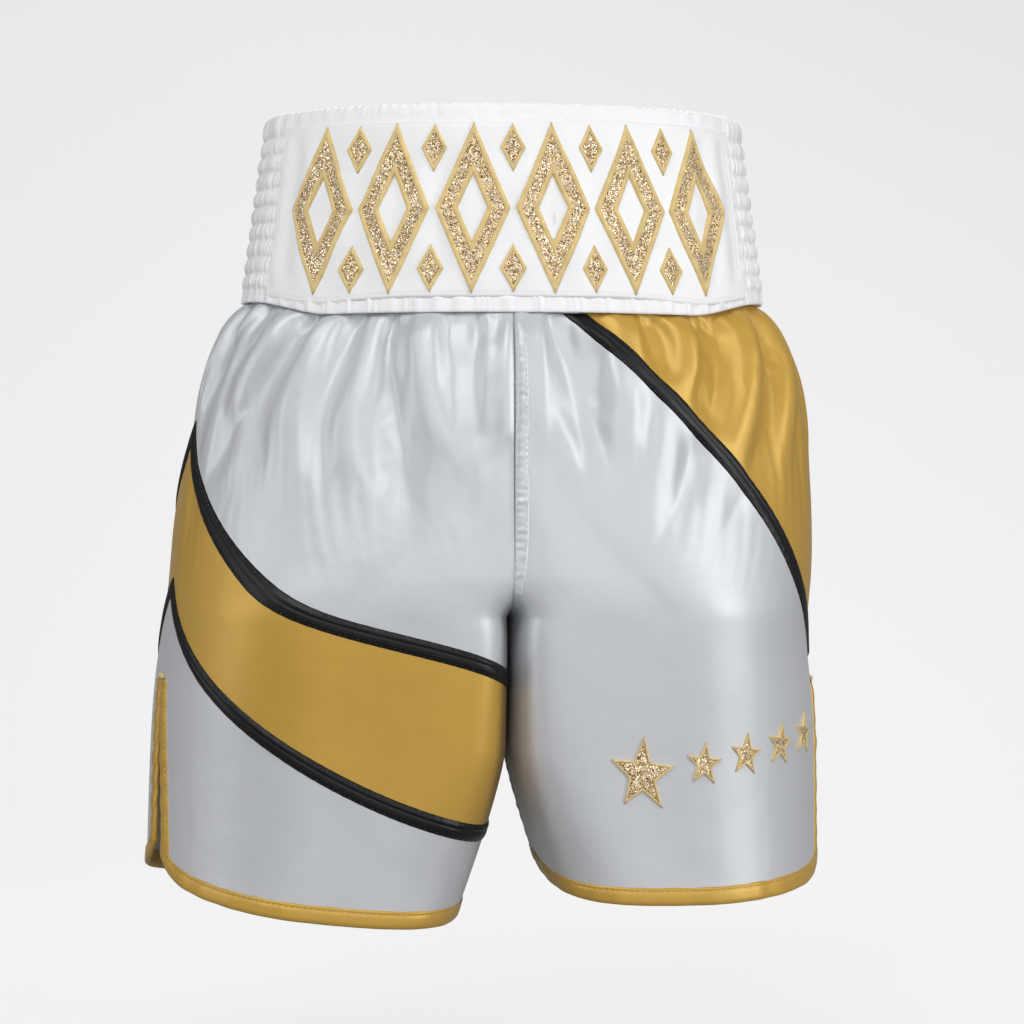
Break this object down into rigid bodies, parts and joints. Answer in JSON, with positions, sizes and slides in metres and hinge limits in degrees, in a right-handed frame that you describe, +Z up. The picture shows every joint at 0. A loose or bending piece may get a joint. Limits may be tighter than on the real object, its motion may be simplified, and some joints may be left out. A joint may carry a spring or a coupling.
{
  "type": "boxing shorts",
  "caption": "Satin boxing shorts with a tall elasticated waistband, panelled legs with ribbon trims, bound hems, side vents and a drawcord.",
  "frame": {"origin": "centre of the waist opening, in the plane of the waistband's top edge", "axes": "+Z up out of the waist opening, +Y towards the wearer's front, +X towards the wearer's right"},
  "size_m": [0.4315, 0.2472, 0.5044],
  "materials": {
    "white_satin": "glossy satin",
    "gold_satin": "glossy satin",
    "black_satin": "glossy satin",
    "gold_glitter": "coarse glitter cloth",
    "gold_thread": "satin-stitched thread",
    "white_elastic": "woven elastic",
    "white_lining": "satin lining",
    "white_interfacing": "matt non-woven",
    "white_cord": "flat woven cord",
    "clear_sleeve": "heat-shrunk sleeve"
  },
  "bodies": {
    "waist": {"waistband_shell": "white_satin", "waistband_facing": "white_lining", "elastic_strip_1": "white_elastic", "elastic_strip_2": "white_elastic", "elastic_strip_3": "white_elastic", "elastic_strip_4": "white_elastic", "elastic_strip_5": "white_elastic", "elastic_strip_6": "white_elastic", "elastic_strip_7": "white_elastic", "elastic_strip_8": "white_elastic", "elastic_strip_9": "white_elastic", "back_overlay_panel": "white_satin", "front_overlay_panel": "white_satin", "back_interfacing": "white_interfacing", "front_interfacing": "white_interfacing", "back_diamond_patches": "gold_glitter", "back_diamond_borders": "gold_thread", "front_diamond_patches": "gold_glitter", "front_diamond_borders": "gold_thread", "drawcord_loop": "white_cord", "back_centre_seam": "white_satin", "front_centre_seam": "white_satin", "left_back_upper_panel": "white_satin", "left_front_upper_panel": "white_satin", "right_back_hip_panel": "gold_satin", "right_front_hip_panel": "gold_satin", "right_back_upper_panel": "white_satin", "right_front_upper_panel": "white_satin", "right_back_ribbon": "black_satin", "right_front_ribbon": "black_satin"},
    "left_leg": {"left_back_band_panel": "gold_satin", "left_front_band_panel": "gold_satin", "left_back_lower_panel": "white_satin", "left_front_lower_panel": "white_satin", "left_back_upper_ribbon": "black_satin", "left_front_upper_ribbon": "black_satin", "left_back_lower_ribbon": "black_satin", "left_front_lower_ribbon": "black_satin", "left_back_binding": "gold_satin", "left_front_binding": "gold_satin", "left_vent_bartack": "gold_thread", "left_inseam": "white_satin"},
    "right_leg": {"right_back_lower_panel": "white_satin", "right_front_lower_panel": "white_satin", "right_back_binding": "gold_satin", "right_front_binding": "gold_satin", "right_vent_bartack": "gold_thread", "right_inseam": "white_satin", "leg_star_patches": "gold_glitter", "leg_star_borders": "gold_thread"},
    "left_cord": {"left_cord_tail": "white_cord", "left_cord_tip": "clear_sleeve"},
    "right_cord": {"right_cord_tail": "white_cord", "right_cord_tip": "clear_sleeve"}
  },
  "joints": [
    {"name": "left_leg_swing", "type": "hinge", "parent": "waist", "child": "left_leg", "pos_m": [-0.105, 0, -0.225], "axis": [1, 0, 0], "range_deg": [-15, 60], "stiffness_Nm_per_rad": 0.6, "deforming": ["left_back_upper_panel", "left_front_upper_panel"]},
    {"name": "right_leg_swing", "type": "hinge", "parent": "waist", "child": "right_leg", "pos_m": [0.095, 0, -0.225], "axis": [1, 0, 0], "range_deg": [-15, 60], "stiffness_Nm_per_rad": 0.6, "deforming": ["right_back_hip_panel", "right_front_hip_panel", "right_back_upper_panel", "right_front_upper_panel"]},
    {"name": "left_cord_pull", "type": "slide", "parent": "waist", "child": "left_cord", "axis": [0, 0.0499, -0.9988], "range_m": [0, 0.05]},
    {"name": "right_cord_pull", "type": "slide", "parent": "waist", "child": "right_cord", "axis": [0, 0.0499, -0.9988], "range_m": [0, 0.05]}
  ]
}
